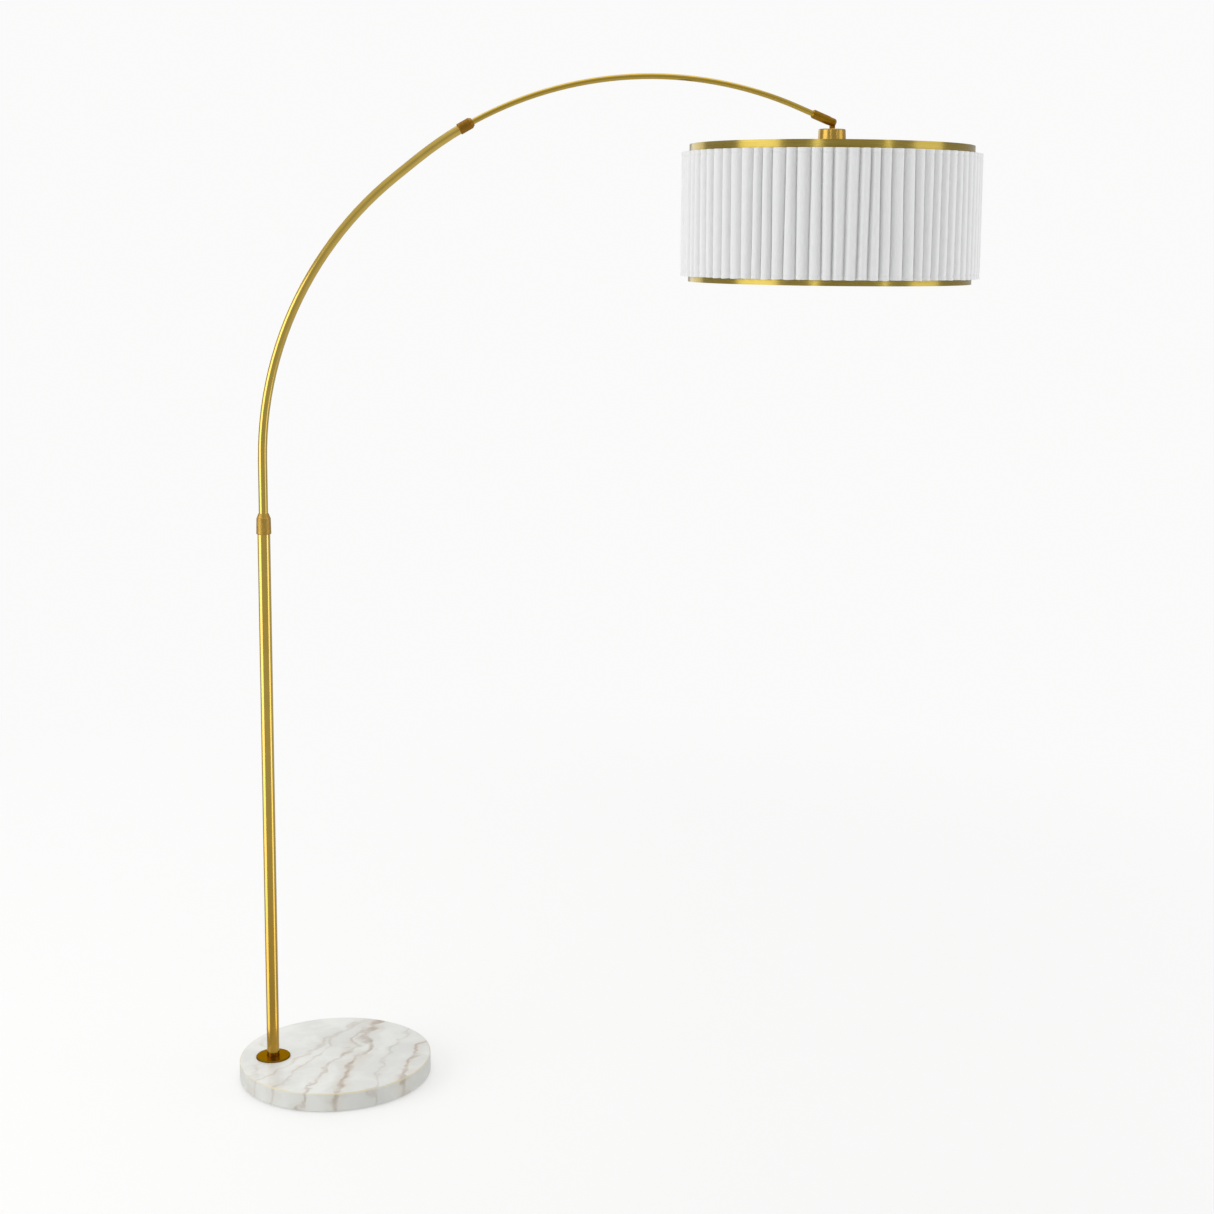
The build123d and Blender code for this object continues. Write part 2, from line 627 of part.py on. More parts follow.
with BuildPart() as socket_cup:
    with BuildSketch(Plane((SHADE_X, 0, 0), x_dir=(1, 0, 0), z_dir=(0, -1, 0))):
        with BuildLine():
            FilletPolyline(
                (STEM_RADIUS, CUP_TOP),
                (CUP_TOP_RADIUS, CUP_TOP),
                (CUP_LOW_RADIUS, CUP_BOTTOM),
                (CUP_LOW_RADIUS - CUP_WALL, CUP_BOTTOM),
                (CUP_TOP_RADIUS - CUP_WALL, CUP_TOP - CUP_WALL),
                (STEM_RADIUS, CUP_TOP - CUP_WALL),
                radius=[2.0, 0.3, 0.3, 1.0],
            )
            Line((STEM_RADIUS, CUP_TOP - CUP_WALL), (STEM_RADIUS, CUP_TOP))
        make_face()
    revolve(axis=Axis((SHADE_X, 0, 0), (0, 0, 1)))
save(socket_cup, "socket_cup")

HOLDER_TOP = 1696.5
NECK_NUT_BOTTOM = HOLDER_TOP + 1.0
NECK_NUT_FLATS = 14.0

with BuildPart() as neck_nut:
    hex_nut(SHADE_X, NECK_NUT_BOTTOM, CUP_TOP - CUP_WALL - NECK_NUT_BOTTOM, NECK_NUT_FLATS, STEM_RADIUS)
save(neck_nut, "neck_nut")

HOLDER_BOTTOM = 1640.0
HOLDER_RADIUS = 19.5
HOLDER_SHOULDER = 21.5
HOLDER_BORE = 14.6
HOLDER_FLOOR = 1678.0  # top of the space for the bulb's cap
WIRE_WAY_RADIUS = 2.2
STEM_SEAT = STEM_BOTTOM - 1.0

with BuildPart() as lampholder_body:
    turn_upright(
        SHADE_X,
        [
            (STEM_RADIUS, HOLDER_TOP),
            (HOLDER_SHOULDER / 2, HOLDER_TOP),
            (HOLDER_SHOULDER - 1.0, HOLDER_TOP - 6.5),
            (HOLDER_SHOULDER, HOLDER_TOP - 10.5),
            (HOLDER_SHOULDER, SPIDER_TOP),
            (HOLDER_RADIUS, SPIDER_TOP),
            (HOLDER_RADIUS, HOLDER_BOTTOM),
            (HOLDER_BORE, HOLDER_BOTTOM),
            (HOLDER_BORE, HOLDER_FLOOR),
            (WIRE_WAY_RADIUS, HOLDER_FLOOR),
            (WIRE_WAY_RADIUS, STEM_SEAT),
            (STEM_RADIUS, STEM_SEAT),
        ],
    )
save(lampholder_body, "lampholder_body")

SHELL_RADIUS = HOLDER_BORE - 0.2
SHELL_WALL = 0.5
SHELL_HOLE = 6.0
SHELL_BOTTOM = 1646.0

with BuildPart() as screw_shell:
    turn_upright(
        SHADE_X,
        [
            (SHELL_HOLE, HOLDER_FLOOR),
            (SHELL_RADIUS, HOLDER_FLOOR),
            (SHELL_RADIUS, SHELL_BOTTOM),
            (SHELL_RADIUS - SHELL_WALL, SHELL_BOTTOM),
            (SHELL_RADIUS - SHELL_WALL, HOLDER_FLOOR - SHELL_WALL),
            (SHELL_HOLE, HOLDER_FLOOR - SHELL_WALL),
        ],
    )
save(screw_shell, "screw_shell")

CONTACT_Z = 1673.8
CONTACT_RADIUS = 3.4
CONTACT_THICKNESS = 0.8
CONTACT_STEM_RADIUS = 2.0
CONTACT_STEM_TOP = 1680.8

with BuildPart() as centre_contact:
    disc(Plane((SHADE_X, 0, CONTACT_Z)), CONTACT_RADIUS, CONTACT_THICKNESS)
    stem_start = CONTACT_Z + CONTACT_THICKNESS
    disc(Plane((SHADE_X, 0, stem_start)), CONTACT_STEM_RADIUS, CONTACT_STEM_TOP - stem_start)
save(centre_contact, "centre_contact")

HEAD_LEAD_END = STEM_BOTTOM - 0.5
HEAD_LEAD_BEND = 4.4

with BuildPart() as lead_head:
    slot_point = in_space(step(PIVOT, ROD_END_SLOPE, SLOT_BOTTOM))
    with BuildLine() as head_path:
        corners = (slot_point, PIVOT_POINT, (SHADE_X, 0, HEAD_LEAD_END))
        FilletPolyline(*corners, radius=HEAD_LEAD_BEND)
    follow(head_path.wire(), LEAD_RADIUS)
save(lead_head, "lead_head")

SPIDER_THICKNESS = 2.0
SPIDER_BOTTOM = SPIDER_TOP - SPIDER_THICKNESS
SHADE_RING_RADIUS = 27.0
SHADE_RING_HEIGHT = 9.0
SHADE_RING_BORE = HOLDER_RADIUS + 0.1

with BuildPart() as shade_ring:
    ring_low = SPIDER_BOTTOM - SHADE_RING_HEIGHT
    washer(SHADE_X, ring_low, SPIDER_BOTTOM, SHADE_RING_RADIUS, SHADE_RING_BORE)
save(shade_ring, "shade_ring")

# ---- Bulb -------------------------------------------------------------------------------------------

CAP_RADIUS = 13.1
GLOBE_RADIUS = 30.0
GLOBE_Z = 1596.0
GLASS = 1.0
CAP_WALL = 0.6
CAP_BOTTOM = 1647.0
CAP_SHOULDER = 1668.0
CAP_TIP_RADIUS = 5.0
CAP_TIP = 1672.6
TIP_THICKNESS = 1.0

with BuildPart() as bulb_cap:
    turn_upright(
        SHADE_X,
        [
            (CAP_RADIUS, CAP_BOTTOM),
            (CAP_RADIUS, CAP_SHOULDER),
            (CAP_TIP_RADIUS, CAP_TIP),
            (CAP_TIP_RADIUS, CAP_TIP - TIP_THICKNESS),
            (CAP_RADIUS - CAP_WALL, CAP_SHOULDER - CAP_WALL),
            (CAP_RADIUS - CAP_WALL, CAP_BOTTOM),
        ],
    )
save(bulb_cap, "bulb_cap")

TIP_CONTACT_RADIUS = CAP_TIP_RADIUS - 0.1

with BuildPart() as bulb_contact:
    turn_upright(
        SHADE_X,
        [
            (0, CAP_TIP - TIP_THICKNESS),
            (TIP_CONTACT_RADIUS, CAP_TIP - TIP_THICKNESS),
            (TIP_CONTACT_RADIUS, CONTACT_Z - 1.0),
            (3.0, CONTACT_Z),
            (0, CONTACT_Z),
        ],
    )
save(bulb_contact, "bulb_contact")

NECK_RIM = 1652.0
NECK_END = 1650.0
GLOBE_SHOULDER = 38.0  # degrees above the globe's middle, where its neck curve begins


def globe_outline(inset):
    """Half outline of the bulb's glass, drawn inwards by an inset, from its neck to its tip."""
    shoulder = math.radians(GLOBE_SHOULDER)
    radius = GLOBE_RADIUS - inset
    side = (radius * math.cos(shoulder), GLOBE_Z + radius * math.sin(shoulder))
    tip = (0, GLOBE_Z - radius)
    neck = (CAP_RADIUS - CAP_WALL - 0.1 - inset, NECK_END)
    Line((neck[0], NECK_RIM), neck)
    tangent = (math.sin(shoulder), -math.cos(shoulder))
    TangentArc(side, neck, tangent=(-tangent[0], -tangent[1]))
    ThreePointArc(side, (radius, GLOBE_Z), tip)
    return neck[0], tip


with BuildPart() as bulb_glass:
    with BuildSketch(Plane((SHADE_X, 0, 0), x_dir=(1, 0, 0), z_dir=(0, -1, 0))):
        with BuildLine():
            outer_neck, outer_tip = globe_outline(0)
            inner_neck, inner_tip = globe_outline(GLASS)
            Line(outer_tip, inner_tip)
            Line((inner_neck, NECK_RIM), (outer_neck, NECK_RIM))
        make_face()
    revolve(axis=Axis((SHADE_X, 0, 0), (0, 0, 1)))
save(bulb_glass, "bulb_glass")

# ---- Shade ------------------------------------------------------------------------------------------

HOOP_WIRE = 1.5
HOOP_RADIUS = 246.8
HOOP_LOW_Z = 1440.0
HUB_RADIUS = 28.0
ARM_RADIUS = 2.0
ARM_START = HUB_RADIUS - 0.7
ARM_Z = SPIDER_TOP - SPIDER_THICKNESS / 2
LINER_OUTER = 249.0
LINER_THICKNESS = 0.5
LINER_INSET = 1.2  # of its edges, from the trim rings' outer faces
BAND_INNER = 249.1


def wire_hoop(z):
    """A ring of round wire about the shade's axis."""
    section = Plane((SHADE_X + HOOP_RADIUS, 0, z), x_dir=(1, 0, 0), z_dir=(0, -1, 0))
    with BuildSketch(section) as profile:
        Circle(HOOP_WIRE)
    revolve(profile.sketch, axis=Axis((SHADE_X, 0, 0), (0, 0, 1)))


with BuildPart() as shade_spider:
    washer(SHADE_X, SPIDER_BOTTOM, SPIDER_TOP, HUB_RADIUS, SHADE_RING_BORE)
    for angle in (90, 210, 330):
        outwards = (math.cos(math.radians(angle)), math.sin(math.radians(angle)))
        start = (SHADE_X + ARM_START * outwards[0], ARM_START * outwards[1], ARM_Z)
        arm_plane = Plane(start, z_dir=(outwards[0], outwards[1], 0))
        disc(arm_plane, ARM_RADIUS, HOOP_RADIUS - HOOP_WIRE - ARM_START)
save(shade_spider, "shade_spider")

with BuildPart() as upper_hoop:
    wire_hoop(ARM_Z)
save(upper_hoop, "upper_hoop")

with BuildPart() as lower_hoop:
    wire_hoop(HOOP_LOW_Z)
save(lower_hoop, "lower_hoop")

with BuildPart() as shade_liner:
    liner_low = RING_BOTTOM + LINER_INSET
    liner_high = RING_TOP - LINER_INSET
    washer(SHADE_X, liner_low, liner_high, LINER_OUTER, LINER_OUTER - LINER_THICKNESS)
save(shade_liner, "shade_liner")

LIP_INNER = 247.0
LIP = 1.0
TOP_BAND_LOW = 1657.5
BOTTOM_BAND_HIGH = 1447.0

with BuildPart() as top_ring:
    turn_upright(
        SHADE_X,
        [
            (BAND_INNER, TOP_BAND_LOW),
            (RING_RADIUS, TOP_BAND_LOW),
            (RING_RADIUS, RING_TOP),
            (LIP_INNER, RING_TOP),
            (LIP_INNER, RING_TOP - LIP),
            (BAND_INNER, RING_TOP - LIP),
        ],
    )
save(top_ring, "top_ring")

with BuildPart() as bottom_ring:
    turn_upright(
        SHADE_X,
        [
            (BAND_INNER, BOTTOM_BAND_HIGH),
            (RING_RADIUS, BOTTOM_BAND_HIGH),
            (RING_RADIUS, RING_BOTTOM),
            (LIP_INNER, RING_BOTTOM),
            (LIP_INNER, RING_BOTTOM + LIP),
            (BAND_INNER, RING_BOTTOM + LIP),
        ],
    )
save(bottom_ring, "bottom_ring")


def pleat_outline(inset):
    """Corners of the pleated sheet seen from above: wide crests between narrow valleys."""
    crest = 0.34  # half a crest's width, as a share of the pitch
    valley = 0.40  # where a pleat's side reaches the valley
    pitch = 360 / PLEAT_COUNT
    side = math.degrees(inset / PLEAT_OUTER)
    points = []
    for pleat in range(PLEAT_COUNT):
        middle = pleat * pitch
        for share, radius, way in (
            (-valley, PLEAT_INNER, 1),
            (-crest, PLEAT_OUTER, 1),
            (crest, PLEAT_OUTER, -1),
            (valley, PLEAT_INNER, -1),
        ):
            angle = math.radians(middle + share * pitch + way * side)
            points.append(((radius - inset) * math.cos(angle), (radius - inset) * math.sin(angle)))
    return points


with BuildPart() as pleated_shade:
    with BuildSketch(Plane((SHADE_X, 0, PLEAT_BOTTOM))):
        with BuildLine():
            Polyline(*pleat_outline(0), close=True)
        make_face()
        with BuildLine():
            Polyline(*pleat_outline(PLEAT_THICKNESS), close=True)
        make_face(mode=Mode.SUBTRACT)
    extrude(amount=PLEAT_TOP - PLEAT_BOTTOM)
save(pleated_shade, "pleated_shade")
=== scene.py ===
"""Arc floor lamp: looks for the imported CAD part. Metres, in the part's own frame."""

import json
import math
import random

import bpy
from mathutils import Matrix, Vector

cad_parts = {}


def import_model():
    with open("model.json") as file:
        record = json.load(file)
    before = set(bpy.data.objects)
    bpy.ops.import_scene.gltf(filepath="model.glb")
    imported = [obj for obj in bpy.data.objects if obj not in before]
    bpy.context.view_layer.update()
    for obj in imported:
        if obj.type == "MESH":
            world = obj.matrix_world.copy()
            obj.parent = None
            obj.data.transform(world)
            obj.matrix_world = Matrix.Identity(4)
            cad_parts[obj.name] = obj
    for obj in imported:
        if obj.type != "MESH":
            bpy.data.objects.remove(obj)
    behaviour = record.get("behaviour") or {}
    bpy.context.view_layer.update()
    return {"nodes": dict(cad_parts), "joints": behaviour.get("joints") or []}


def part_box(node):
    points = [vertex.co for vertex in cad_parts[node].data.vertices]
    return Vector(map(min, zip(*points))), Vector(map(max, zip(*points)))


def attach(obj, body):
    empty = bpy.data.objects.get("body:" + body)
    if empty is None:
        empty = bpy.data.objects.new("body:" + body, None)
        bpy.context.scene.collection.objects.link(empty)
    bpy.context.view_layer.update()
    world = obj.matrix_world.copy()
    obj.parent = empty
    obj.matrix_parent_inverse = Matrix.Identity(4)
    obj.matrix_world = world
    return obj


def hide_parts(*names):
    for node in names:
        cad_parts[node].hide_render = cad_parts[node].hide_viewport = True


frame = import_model()

MM = 0.001
scene = bpy.context.scene


# ---- Material building blocks ------------------------------------------------------------


class Paint:
    """A material with one Principled shader, and short calls for the nodes that feed it."""

    def __init__(self, name, roughness, metallic=0.0, **sockets):
        self.material = bpy.data.materials.new(name)
        self.material.use_nodes = True
        self.nodes = self.material.node_tree.nodes
        self.links = self.material.node_tree.links
        self.shader = self.nodes["Principled BSDF"]
        self.shader.inputs["Roughness"].default_value = roughness
        self.shader.inputs["Metallic"].default_value = metallic
        for socket, value in sockets.items():
            self.shader.inputs[socket.replace("_", " ")].default_value = value
        self.place = self.node("ShaderNodeTexCoord").outputs["Object"]

    def node(self, kind, **settings):
        made = self.nodes.new(kind)
        for name, value in settings.items():
            setattr(made, name, value)
        return made

    def feed(self, socket, value):
        """Links a node's output to an input, or sets the input to a plain value."""
        if isinstance(value, bpy.types.NodeSocket):
            self.links.new(value, socket)
        else:
            socket.default_value = value

    def math(self, operation, first, second=0.0):
        """First and second, numbers or sockets, put through one Math node."""
        made = self.node("ShaderNodeMath", operation=operation)
        self.feed(made.inputs[0], first)
        self.feed(made.inputs[1], second)
        return made.outputs[0]

    def vector(self, operation, first, second=(0.0, 0.0, 0.0)):
        """The same with vectors. A dot product or a length gives a number."""
        made = self.node("ShaderNodeVectorMath", operation=operation)
        self.feed(made.inputs[0], first)
        self.feed(made.inputs[1], second)
        return made.outputs["Value" if operation in ("DOT_PRODUCT", "LENGTH") else "Vector"]

    def split(self, vector):
        made = self.node("ShaderNodeSeparateXYZ")
        self.feed(made.inputs[0], vector)
        return made.outputs

    def join(self, x, y, z):
        made = self.node("ShaderNodeCombineXYZ")
        for socket, value in zip(made.inputs, (x, y, z)):
            self.feed(socket, value)
        return made.outputs[0]

    def noise(self, vector, scale, detail=2.0, output="Fac"):
        made = self.node("ShaderNodeTexNoise")
        self.feed(made.inputs["Vector"], vector)
        made.inputs["Scale"].default_value = scale
        made.inputs["Detail"].default_value = detail
        return made.outputs[output]

    def spread(self, value, low, high, out_low=0.0, out_high=1.0):
        """Value's stretch from low to high, eased and carried to out_low to out_high."""
        made = self.node("ShaderNodeMapRange", interpolation_type="SMOOTHSTEP")
        for socket, number in zip(made.inputs, (value, low, high, out_low, out_high)):
            self.feed(socket, number)
        return made.outputs[0]

    def mix(self, factor, first, second):
        made = self.node("ShaderNodeMix", data_type="RGBA")
        self.feed(made.inputs["Factor"], factor)
        colours = [socket for socket in made.inputs if socket.type == "RGBA"]
        for socket, colour in zip(colours, (first, second)):
            if not isinstance(colour, bpy.types.NodeSocket):
                colour = (*colour, 1.0)
            self.feed(socket, colour)
        return next(socket for socket in made.outputs if socket.type == "RGBA")

    def colour(self, value):
        self.feed(self.shader.inputs["Base Color"], value)

    def rough(self, value):
        self.feed(self.shader.inputs["Roughness"], value)

    def bump(self, height, strength, depth):
        made = self.node("ShaderNodeBump")
        made.inputs["Strength"].default_value = strength
        made.inputs["Distance"].default_value = depth
        self.feed(made.inputs["Height"], height)
        self.links.new(made.outputs[0], self.shader.inputs["Normal"])


def about_axis(paint, middle):
    """(distance from an upright axis, angle round it) at the surface."""
    local = paint.split(paint.vector("SUBTRACT", paint.place, middle))
    across = paint.vector("LENGTH", paint.join(local[0], local[1], 0.0))
    return across, paint.math("ARCTAN2", local[1], local[0])


# ---- Metals -------------------------------------------------------------------------------


def metal(name, colour, roughness, streaks, streak_scale, bump=0.15, worn=0.10, glance=(1.0, 1.0, 1.0)):
    """Metal whose colour, gloss and grain follow a streak coordinate, with faint handling marks.

    Worn is how far the colour goes to each side, and glance tints what is mirrored at a low angle.
    """
    paint = Paint(name, roughness, metallic=1.0, Specular_Tint=(*glance, 1.0))
    grain = paint.noise(streaks(paint), streak_scale, 3.0)
    marks = paint.noise(paint.place, 55.0, 4.0)
    dark = tuple(c * (1.0 - worn) for c in colour)
    light = tuple(min(1.0, c * (1.0 + worn)) for c in colour)
    blend = paint.math("ADD", paint.math("MULTIPLY", grain, 0.6), paint.math("MULTIPLY", marks, 0.4))
    paint.colour(paint.mix(paint.spread(blend, 0.32, 0.68), dark, light))
    paint.rough(paint.spread(blend, 0.3, 0.7, roughness * 0.85, roughness * 1.25))
    paint.bump(grain, bump, 0.0001)
    return paint.material


def along_tube(paint):
    """Streaks along a tube that lies in the arm's plane: Y of the normal is the same all along."""
    normal = paint.split(paint.node("ShaderNodeTexCoord").outputs["Normal"])
    place = paint.split(paint.place)
    slow_x = paint.math("MULTIPLY", place[0], 0.05)
    slow_z = paint.math("MULTIPLY", place[2], 0.05)
    return paint.join(normal[1], slow_x, slow_z)


def lacquered_tube(name, colour):
    """Lacquered brass tube with fine drawing lines along it; towards the floor its colour is a richer,
    darker gold, a painted reflection of the low surroundings.
    """
    # painted reflection: near the floor the tube's colour turns to a richer, darker gold
    painted_reflection_gold, painted_reflection_gold_worn = (0.46, 0.255, 0.014), (0.42, 0.230, 0.012)
    colour_worn = tuple(0.92 * channel for channel in colour)
    paint = Paint(name, 0.18, metallic=1.0, Coat_Weight=0.6, Coat_Roughness=0.08)
    grain = paint.noise(along_tube(paint), 30.0, 2.0)
    marks = paint.noise(paint.place, 40.0, 4.0)
    # painted reflection: the mix from the floor's gold to the tube's own colour goes by height
    height = paint.spread(paint.split(paint.place)[2], -0.15, 0.75)
    fresh = paint.mix(height, painted_reflection_gold, colour)
    worn = paint.mix(height, painted_reflection_gold_worn, colour_worn)
    blend = paint.math("ADD", paint.math("MULTIPLY", grain, 0.5), paint.math("MULTIPLY", marks, 0.5))
    paint.colour(paint.mix(paint.spread(blend, 0.34, 0.66), worn, fresh))
    paint.rough(paint.spread(blend, 0.3, 0.7, 0.15, 0.21))
    paint.bump(marks, 0.01, 0.0001)
    return paint.material


def round_axis(middle, rings=1.0):
    """Turning marks round an upright axis. Rings is how fast they change across a flat face."""

    def coordinate(paint):
        across, turn = about_axis(paint, middle)
        upward = paint.split(paint.place)[2]
        return paint.join(paint.math("MULTIPLY", across, rings), upward, paint.math("MULTIPLY", turn, 0.02))

    return coordinate


def brushed_ring():
    """Flat brass band, brushed along its length: fine level lines, a little uneven round the ring."""
    paint = Paint("brushed_brass_ring", 0.26, metallic=1.0, Anisotropic=0.75, Anisotropic_Rotation=0.25)
    _, turn = about_axis(paint, shade_axis)
    height = paint.split(paint.place)[2]
    lines = paint.noise(paint.join(height, paint.math("MULTIPLY", turn, 0.0012), 0.0), 2600.0, 2.0)
    waves = paint.noise(paint.join(height, paint.math("MULTIPLY", turn, 0.05), 0.0), 60.0, 2.0)
    blend = paint.math("ADD", paint.math("MULTIPLY", lines, 0.65), paint.math("MULTIPLY", waves, 0.35))
    paint.colour(paint.mix(paint.spread(blend, 0.34, 0.66), (0.35, 0.26, 0.05), (0.46, 0.345, 0.085)))
    paint.rough(paint.spread(blend, 0.3, 0.7, 0.22, 0.30))
    paint.bump(lines, 0.05, 0.0001)
    return paint.material


def anywhere(paint):
    """The surface's own place: marks with no direction."""
    return paint.place


# ---- Stone, cloth and the rest --------------------------------------------------------------

WEAVE_PITCH = 0.6 * MM


def marble(base_radius, base_top):
    """White marble with brown-grey veins from the back to the front left, painted shade on its side and a
    painted yellowish highlight along the top edge.
    """
    white = (0.815, 0.82, 0.785)
    grey = (0.725, 0.732, 0.705)
    beige = (0.66, 0.595, 0.50)
    vein_brown = (0.42, 0.335, 0.26)
    edge_highlight_yellow = (0.74, 0.66, 0.44)
    painted_side_shade_grey = (0.30, 0.31, 0.27)
    core_reach, halo_reach = 1.5, 5.0  # in widths of the vein
    core_strength, halo_strength = 0.88, 0.62
    # from and to, in base radii; width in mm; strength
    veins = (
        ((0.40, 0.92), (0.03, -1.00), 6.8, 0.95),
        ((0.34, 0.70), (-0.36, -0.80), 4.4, 0.75),
        ((0.98, 0.45), (0.74, -0.65), 5.0, 0.80),
        ((0.68, 0.60), (0.46, -0.40), 3.5, 0.36),
        ((0.10, 0.70), (-0.62, -0.26), 4.5, 0.40),
        ((-0.20, 0.10), (-0.60, -0.72), 4.0, 0.40),
        ((-0.80, 0.30), (-0.92, -0.60), 4.0, 0.30),
    )
    paint = Paint("polished_marble", 0.34)
    wide_warp = paint.vector("SUBTRACT", paint.noise(paint.place, 11.0, 2.0, "Color"), (0.5, 0.5, 0.5))
    fine_warp = paint.vector("SUBTRACT", paint.noise(paint.place, 48.0, 4.0, "Color"), (0.5, 0.5, 0.5))
    moved = paint.vector("ADD", paint.place, paint.vector("MULTIPLY", wide_warp, (0.075, 0.05, 0.05)))
    moved = paint.vector("ADD", moved, paint.vector("MULTIPLY", fine_warp, (0.030, 0.024, 0.02)))
    broken = paint.spread(paint.noise(paint.place, 34.0, 3.0), 0.30, 0.62, 0.35, 1.0)
    brown = 0.0
    halo = 0.0
    for start, end, width, strength in veins:
        a = Vector((*start, 0.0)) * base_radius
        b = Vector((*end, 0.0)) * base_radius
        across = (b - a).cross(Vector((0.0, 0.0, 1.0))).normalized()
        across.z = 0.25
        offset = paint.math("SUBTRACT", paint.vector("DOT_PRODUCT", moved, tuple(across)), across.dot(a))
        distance = paint.math("ABSOLUTE", offset)
        core = paint.spread(distance, core_reach * width * MM, 0.0, 0.0, strength * core_strength)
        edge = paint.spread(distance, halo_reach * width * MM, 0.0, 0.0, strength * halo_strength)
        brown = paint.math("MAXIMUM", core, brown)
        halo = paint.math("MAXIMUM", edge, halo)
    cloud = paint.spread(paint.noise(moved, 15.0, 5.0), 0.36, 0.66)
    stone = paint.mix(cloud, white, grey)
    blush = paint.math("MULTIPLY", halo, paint.spread(paint.noise(moved, 26.0, 4.0), 0.34, 0.62))
    stone = paint.mix(blush, stone, beige)
    stone = paint.mix(paint.math("MULTIPLY", brown, broken), stone, vein_brown)
    # painted highlight: a patchy yellowish line round the rounded top edge, set by radius and height
    from_middle, _ = about_axis(paint, (0.0, 0.0, 0.0))
    rim = paint.spread(from_middle, base_radius - 3.0 * MM, base_radius - 1.6 * MM)
    height = paint.split(paint.place)[2]
    # painted shade: below the top edge the side is greyed a little, darker than the top
    side = paint.spread(height, base_top - 1.0 * MM, base_top - 2.5 * MM, 0.0, 0.20)
    stone = paint.mix(side, stone, painted_side_shade_grey)
    upper = paint.spread(height, base_top - 3.4 * MM, base_top - 1.8 * MM)
    patchy = paint.spread(paint.noise(paint.place, 22.0, 3.0), 0.30, 0.60, 0.15, 0.75)
    painted_edge_highlight = paint.math("MULTIPLY", paint.math("MULTIPLY", rim, upper), patchy)
    paint.colour(paint.mix(painted_edge_highlight, stone, edge_highlight_yellow))
    paint.rough(paint.spread(paint.noise(paint.place, 90.0, 3.0), 0.3, 0.7, 0.28, 0.40))
    paint.bump(paint.noise(paint.place, 260.0, 2.0), 0.05, 0.0001)
    return paint.material


def cloth():
    """White woven cloth. Its own two lengths, across and up, are stored on the sheet's points."""
    paint = Paint("pleated_cloth", 0.88, Sheen_Weight=0.25, Sheen_Roughness=0.5)
    turns = 2.0 * math.pi / WEAVE_PITCH
    across = paint.node("ShaderNodeAttribute", attribute_name="cloth_across").outputs["Fac"]
    upward = paint.node("ShaderNodeAttribute", attribute_name="cloth_up").outputs["Fac"]
    warp = paint.math("SINE", paint.math("MULTIPLY", across, turns))
    weft = paint.math("SINE", paint.math("MULTIPLY", upward, turns))
    weave = paint.math("MULTIPLY", warp, weft)
    slub = paint.noise(paint.join(across, paint.math("MULTIPLY", upward, 0.06), 0.0), 900.0, 2.0)
    shade = paint.math("ADD", paint.math("MULTIPLY", weave, 0.25), slub)
    paint.colour(paint.mix(paint.spread(shade, 0.25, 0.85), (0.76, 0.765, 0.765), (0.85, 0.855, 0.85)))
    paint.bump(weave, 0.25, 0.00008)
    return paint.material


def plain(name, colour, roughness, scale, spread=0.08, bump=0.1, **sockets):
    """Moulded, cast or glazed material: slight cloudiness of colour and gloss, and a fine surface."""
    paint = Paint(name, roughness, **sockets)
    cloud = paint.noise(paint.place, scale, 3.0)
    dark = tuple(c * (1.0 - spread) for c in colour)
    paint.colour(paint.mix(paint.spread(cloud, 0.3, 0.7), dark, colour))
    paint.rough(paint.spread(cloud, 0.3, 0.7, roughness * 0.85, min(1.0, roughness * 1.15)))
    paint.bump(paint.noise(paint.place, scale * 8.0, 2.0), bump, 0.0001)
    return paint.material


def felt():
    """Dark felt: short fibres every way."""
    paint = Paint("dark_felt", 0.95, Sheen_Weight=0.4)
    fibres = paint.noise(paint.vector("MULTIPLY", paint.place, (1.0, 1.0, 3.0)), 900.0, 4.0)
    paint.colour(paint.mix(paint.spread(fibres, 0.35, 0.65), (0.012, 0.012, 0.012), (0.05, 0.05, 0.048)))
    paint.bump(fibres, 0.6, 0.0003)
    return paint.material


# ---- Mesh building blocks ---------------------------------------------------------------------


def mesh_piece(name, points, faces, material):
    """A smooth-shaded piece from points and faces."""
    data = bpy.data.meshes.new(name)
    data.from_pydata(points, [], faces)
    data.update()
    data.polygons.foreach_set("use_smooth", [True] * len(data.polygons))
    piece = bpy.data.objects.new(name, data)
    scene.collection.objects.link(piece)
    data.materials.append(material)
    return piece


def turned(name, outline, segments, origin, axis, material, relief):
    """A closed outline of (radius, height) points turned about a line in the arm's plane, with a relief."""
    along = Vector(axis).normalized()
    side = Vector((0.0, 1.0, 0.0)).cross(along).normalized()
    other = along.cross(side)
    points = []
    for radius, height in outline:
        for k in range(segments):
            angle = 2.0 * math.pi * k / segments
            reach = radius + relief(radius, height, angle)
            spoke = side * math.cos(angle) + other * math.sin(angle)
            points.append(Vector(origin) + along * height + spoke * reach)
    faces = []
    rows = len(outline)
    for row in range(rows):
        low = row * segments
        high = (row + 1) % rows * segments
        for k in range(segments):
            after = (k + 1) % segments
            faces.append((low + k, low + after, high + after, high + k))
    return mesh_piece(name, points, faces, material)


def finely(outline, spacing):
    """The closed outline again, with points about a spacing apart along its long runs."""
    made = []
    for (r0, h0), (r1, h1) in zip(outline, outline[1:] + outline[:1]):
        steps = max(1, round(math.hypot(r1 - r0, h1 - h0) / spacing))
        for k in range(steps):
            made.append((r0 + (r1 - r0) * k / steps, h0 + (h1 - h0) * k / steps))
    return made


# ---- Pieces -------------------------------------------------------------------------------------

KNURL_DEPTH = 0.16 * MM
KNURL_PITCH = 1.25 * MM
KNURL_ROW = 0.35 * MM


